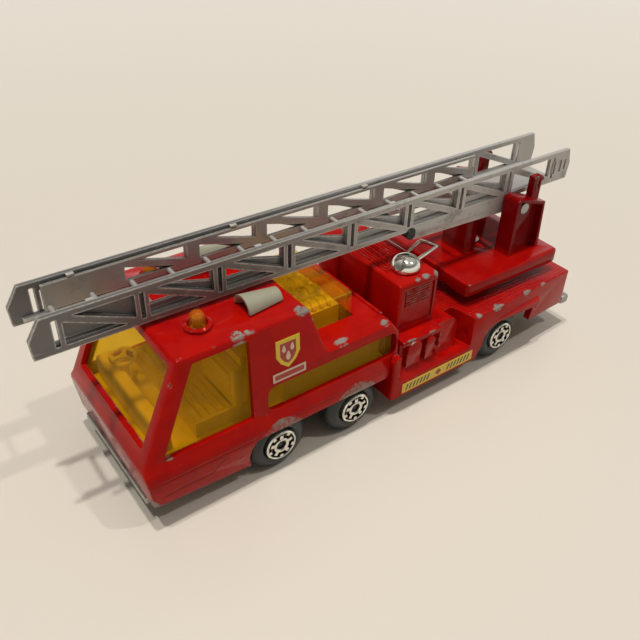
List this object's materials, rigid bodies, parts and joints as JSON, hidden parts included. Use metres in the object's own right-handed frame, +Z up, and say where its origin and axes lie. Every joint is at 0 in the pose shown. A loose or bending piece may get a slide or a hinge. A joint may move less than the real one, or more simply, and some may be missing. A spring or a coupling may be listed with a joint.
{
  "type": "toy fire engine",
  "caption": "Die-cast toy ladder fire engine on three axles, with a clear amber cab, swivelling turntable and a raising, extending ladder.",
  "frame": {"origin": "on the ground, under the middle of the overall length from the ladder's tail to its tip", "axes": "+X to the front of the vehicle, +Y to its left, +Z up"},
  "size_m": [0.1542, 0.0446, 0.0519],
  "materials": {
    "cab_casting": "bright red stoved enamel, chipped at the edges",
    "rear_casting": "bright red stoved enamel, chipped at the edges",
    "turntable": "bright red stoved enamel",
    "base_plate": "bare zinc die-casting",
    "amber_glazing": "clear amber, polished",
    "interior": "moulded yellow",
    "horn_left": "grey cream",
    "horn_right": "grey cream",
    "searchlight": "bright plating",
    "base_ladder": "silver, rubbed",
    "extension_ladder": "silver, rubbed",
    "turntable_rivet": "plain",
    "ladder_pin": "plain",
    "emblem_left": "printed label",
    "emblem_right": "printed label",
    "strip_left": "printed label",
    "strip_right": "printed label",
    "base_rivet_front": "plain",
    "base_rivet_middle": "plain",
    "base_rivet_tail": "plain",
    "front_axle": "drawn wire",
    "front_tyre_left": "moulded black",
    "front_hub_left": "plated with a black channel",
    "front_tyre_right": "moulded black",
    "front_hub_right": "plated with a black channel",
    "second_axle": "drawn wire",
    "second_tyre_left": "moulded black",
    "second_hub_left": "plated with a black channel",
    "second_tyre_right": "moulded black",
    "second_hub_right": "plated with a black channel",
    "rear_axle": "drawn wire",
    "rear_tyre_left": "moulded black",
    "rear_hub_left": "plated with a black channel",
    "rear_tyre_right": "moulded black",
    "rear_hub_right": "plated with a black channel"
  },
  "bodies": {
    "chassis": {"cab_casting": "cab_casting", "rear_casting": "rear_casting", "base_plate": "base_plate", "amber_glazing": "amber_glazing", "interior": "interior", "horn_left": "horn_left", "horn_right": "horn_right", "base_rivet_front": "base_rivet_front", "base_rivet_middle": "base_rivet_middle", "base_rivet_tail": "base_rivet_tail", "turntable_rivet": "turntable_rivet", "emblem_left": "emblem_left", "emblem_right": "emblem_right", "strip_left": "strip_left", "strip_right": "strip_right"},
    "turntable": {"turntable": "turntable", "ladder_pin": "ladder_pin"},
    "ladder": {"base_ladder": "base_ladder"},
    "ladder_extension": {"extension_ladder": "extension_ladder"},
    "searchlight": {"searchlight": "searchlight"},
    "front_wheelset": {"front_axle": "front_axle", "front_tyre_left": "front_tyre_left", "front_hub_left": "front_hub_left", "front_tyre_right": "front_tyre_right", "front_hub_right": "front_hub_right"},
    "second_wheelset": {"second_axle": "second_axle", "second_tyre_left": "second_tyre_left", "second_hub_left": "second_hub_left", "second_tyre_right": "second_tyre_right", "second_hub_right": "second_hub_right"},
    "rear_wheelset": {"rear_axle": "rear_axle", "rear_tyre_left": "rear_tyre_left", "rear_hub_left": "rear_hub_left", "rear_tyre_right": "rear_tyre_right", "rear_hub_right": "rear_hub_right"}
  },
  "joints": [
    {"name": "front_wheels_roll", "type": "hinge", "parent": "chassis", "child": "front_wheelset", "pos_m": [0.03135, 0, 0.0078], "axis": [0, 1, 0], "continuous": true},
    {"name": "second_wheels_roll", "type": "hinge", "parent": "chassis", "child": "second_wheelset", "pos_m": [0.00915, 0, 0.0078], "axis": [0, 1, 0], "continuous": true},
    {"name": "rear_wheels_roll", "type": "hinge", "parent": "chassis", "child": "rear_wheelset", "pos_m": [-0.04345, 0, 0.0078], "axis": [0, 1, 0], "continuous": true},
    {"name": "turntable_swivel", "type": "hinge", "parent": "chassis", "child": "turntable", "pos_m": [-0.04855, 0, 0.025], "axis": [0, 0, 1], "continuous": true},
    {"name": "ladder_raise", "type": "hinge", "parent": "turntable", "child": "ladder", "pos_m": [-0.05455, 0.00013, 0.0412], "axis": [-0.0209, -0.9998, 0], "range_deg": [0, 50]},
    {"name": "ladder_extend", "type": "slide", "parent": "ladder", "child": "ladder_extension", "axis": [0.9998, -0.0209, 0], "range_m": [0, 0.07]},
    {"name": "searchlight_turn", "type": "hinge", "parent": "chassis", "child": "searchlight", "pos_m": [-0.01285, 0.0108, 0.0363], "axis": [0, 0, 1], "continuous": true}
  ]
}
